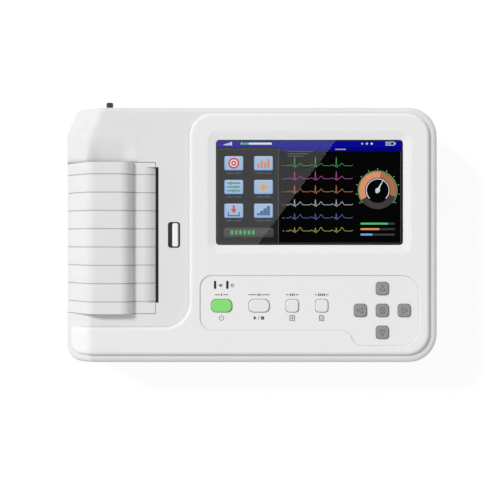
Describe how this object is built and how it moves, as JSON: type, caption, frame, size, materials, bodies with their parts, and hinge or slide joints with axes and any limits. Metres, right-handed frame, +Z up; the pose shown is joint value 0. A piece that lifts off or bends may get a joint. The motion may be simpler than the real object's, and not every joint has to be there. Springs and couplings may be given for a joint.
{
  "type": "electrocardiograph",
  "caption": "Low desktop heart-signal recorder with a raised screen and key panel, and a hinged ribbed paper cover over a built-in thermal strip printer.",
  "frame": {"origin": "on the table, under the middle of the case, between the feet", "axes": "+X to the right as the user faces the screen, +Y to the rear, +Z up"},
  "size_m": [0.3208, 0.225, 0.077],
  "materials": {
    "case_plastic": "fine satin moulded plastic",
    "panel_plastic": "smooth satin moulded plastic",
    "overlay_film": "printed polyester film",
    "display_glass": "clear cover glass",
    "display_frame": "dark display module",
    "green_key": "translucent silicone",
    "grey_key": "silicone",
    "dark_lens": "smoked acrylic",
    "white_key": "silicone",
    "circuit_board": "solder mask",
    "black_plastic": "moulded",
    "blue_plastic": "moulded",
    "steel": "bright",
    "plated_metal": "nickel plate",
    "brass": "machined",
    "aluminium": "extruded",
    "black_rubber": "moulded",
    "platen_rubber": "ground",
    "gear_plastic": "natural acetal",
    "print_head": "glazed ceramic strip",
    "battery_wrap": "shrink sleeve",
    "paper": "thermal paper",
    "card": "wound card",
    "latch_white": "moulded"
  },
  "bodies": {
    "case": {"base_case": "case_plastic", "battery_door": "case_plastic", "battery_pack": "battery_wrap", "board_screws": "steel", "case_screws": "steel", "cover_hinge_pin": "steel", "display_gasket": "black_rubber", "display_glass": "display_glass", "display_module": "display_frame", "door_screws": "steel", "drive_motor": "steel", "feet": "black_rubber", "front_panel": "panel_plastic", "ground_nut": "plated_metal", "ground_post": "plated_metal", "head_heat_sink": "aluminium", "head_spring": "steel", "idler_axle": "steel", "key_board": "circuit_board", "key_overlay": "overlay_film", "key_switches": "black_plastic", "lead_socket": "blue_plastic", "lead_socket_posts": "plated_metal", "main_board": "circuit_board", "main_board_parts": "black_plastic", "mains_inlet": "black_plastic", "mains_pins": "plated_metal", "paper_tray": "case_plastic", "power_board": "circuit_board", "power_parts": "black_plastic", "print_head": "print_head", "printer_frame": "steel", "status_lenses": "dark_lens", "tear_bar": "steel", "top_case": "case_plastic", "usb_sockets": "steel", "usb_tongues": "black_plastic"},
    "cover": {"paper_cover": "case_plastic", "platen_bushes": "gear_plastic"},
    "platen": {"platen_shaft": "steel", "platen_rubber": "platen_rubber", "platen_gear": "gear_plastic"},
    "roll": {"paper_roll": "paper", "paper_core": "card", "paper_spindle": "gear_plastic"},
    "idler": {"idler_gear": "gear_plastic"},
    "pinion": {"motor_pinion": "brass"},
    "latch": {"latch_button": "latch_white", "latch_bar": "black_plastic"},
    "power_key_body": {"power_key": "green_key"},
    "start_key_body": {"start_key": "white_key"},
    "mode_key_body": {"mode_key": "white_key"},
    "print_key_body": {"print_key": "white_key"},
    "up_key_body": {"up_key": "grey_key"},
    "down_key_body": {"down_key": "grey_key"},
    "left_key_body": {"left_key": "grey_key"},
    "right_key_body": {"right_key": "grey_key"},
    "menu_key_body": {"menu_key": "grey_key"}
  },
  "joints": [
    {"name": "cover_hinge", "type": "hinge", "parent": "case", "child": "cover", "pos_m": [-0.15343, 0, 0.04844], "axis": [0, -1, 0], "range_deg": [0, 105]},
    {"name": "roll_spin", "type": "hinge", "parent": "case", "child": "roll", "pos_m": [-0.12625, 0, 0.038], "axis": [0, -1, 0], "continuous": true},
    {"name": "platen_spin", "type": "hinge", "parent": "cover", "child": "platen", "pos_m": [-0.087, 0, 0.0545], "axis": [0, -1, 0], "continuous": true},
    {"name": "idler_spin", "type": "hinge", "parent": "case", "child": "idler", "pos_m": [-0.08518, -0.06185, 0.03452], "axis": [0, -1, 0], "continuous": true},
    {"name": "pinion_spin", "type": "hinge", "parent": "case", "child": "pinion", "pos_m": [-0.06861, -0.06185, 0.02732], "axis": [0, -1, 0], "continuous": true},
    {"name": "latch_slide", "type": "slide", "parent": "case", "child": "latch", "axis": [1, 0, 0], "range_m": [0, 0.0012], "stiffness_N_per_m": 400},
    {"name": "power_key_press", "type": "slide", "parent": "case", "child": "power_key_body", "axis": [0, 0, -1], "range_m": [0, 0.001], "stiffness_N_per_m": 500},
    {"name": "start_key_press", "type": "slide", "parent": "case", "child": "start_key_body", "axis": [0, 0, -1], "range_m": [0, 0.001], "stiffness_N_per_m": 500},
    {"name": "mode_key_press", "type": "slide", "parent": "case", "child": "mode_key_body", "axis": [0, 0, -1], "range_m": [0, 0.001], "stiffness_N_per_m": 500},
    {"name": "print_key_press", "type": "slide", "parent": "case", "child": "print_key_body", "axis": [0, 0, -1], "range_m": [0, 0.001], "stiffness_N_per_m": 500},
    {"name": "up_key_press", "type": "slide", "parent": "case", "child": "up_key_body", "axis": [0, 0, -1], "range_m": [0, 0.001], "stiffness_N_per_m": 500},
    {"name": "down_key_press", "type": "slide", "parent": "case", "child": "down_key_body", "axis": [0, 0, -1], "range_m": [0, 0.001], "stiffness_N_per_m": 500},
    {"name": "left_key_press", "type": "slide", "parent": "case", "child": "left_key_body", "axis": [0, 0, -1], "range_m": [0, 0.001], "stiffness_N_per_m": 500},
    {"name": "right_key_press", "type": "slide", "parent": "case", "child": "right_key_body", "axis": [0, 0, -1], "range_m": [0, 0.001], "stiffness_N_per_m": 500},
    {"name": "menu_key_press", "type": "slide", "parent": "case", "child": "menu_key_body", "axis": [0, 0, -1], "range_m": [0, 0.001], "stiffness_N_per_m": 500}
  ],
  "couplings": [
    {"joint": "platen_spin", "follows": "roll_spin", "ratio": 3.1429},
    {"joint": "idler_spin", "follows": "roll_spin", "ratio": -2.0952},
    {"joint": "pinion_spin", "follows": "roll_spin", "ratio": 4.1905}
  ]
}
